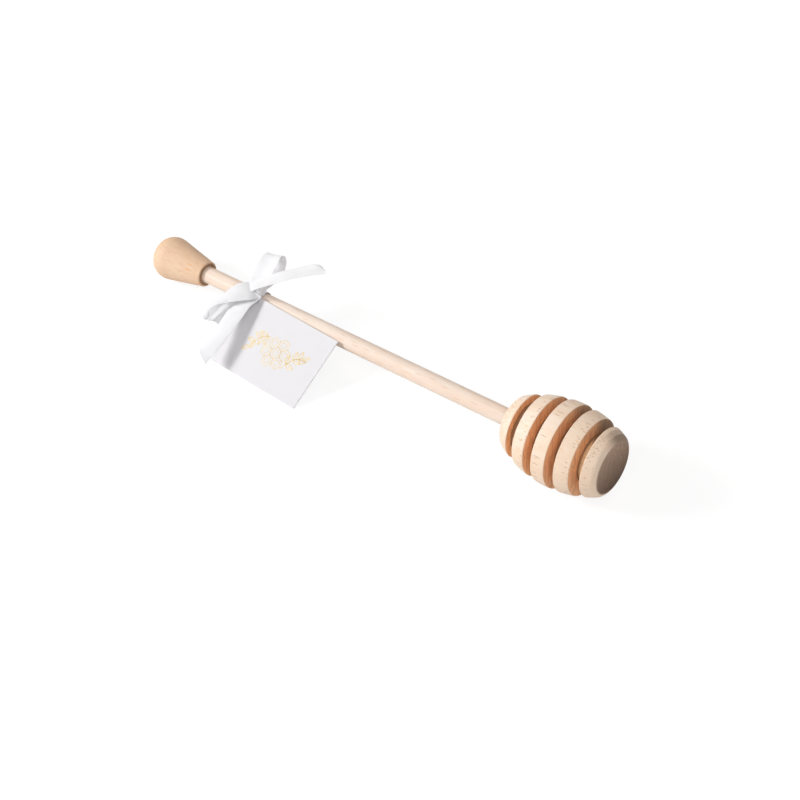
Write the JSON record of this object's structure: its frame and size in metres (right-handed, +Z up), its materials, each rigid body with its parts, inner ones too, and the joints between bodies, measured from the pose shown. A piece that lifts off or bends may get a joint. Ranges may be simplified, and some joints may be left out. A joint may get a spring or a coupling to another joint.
{
  "type": "honey dipper",
  "caption": "Beech honey dipper with a grooved head, a dowel handle, a teardrop end knob, a white ribbon bow and a card gift tag.",
  "frame": {"origin": "on the table, under the middle of the box round the dipper, its bow and its tag", "axes": "+X along the handle towards the grooved head, +Z up from the table, -Y towards the side the tag lies on"},
  "size_m": [0.2088, 0.0582, 0.0307],
  "materials": {
    "beech_head": "satin",
    "beech_rod": "satin",
    "beech_knob": "satin",
    "satin_ribbon": "satin",
    "card": "matte"
  },
  "bodies": {
    "dipper": {"dipper_head": "beech_head", "handle_rod": "beech_rod", "end_knob": "beech_knob"},
    "bow": {"ribbon": "satin_ribbon"},
    "tag": {"gift_tag": "card"}
  },
  "joints": [
    {"name": "bow_slide", "type": "slide", "parent": "dipper", "child": "bow", "axis": [0.9993, 0, 0.0384], "range_m": [-0.015, 0.072]},
    {"name": "tag_swing", "type": "hinge", "parent": "bow", "child": "tag", "pos_m": [-0.05062, -0.00139, 0.01285], "axis": [1, 0, 0], "range_deg": [0, 60]}
  ]
}
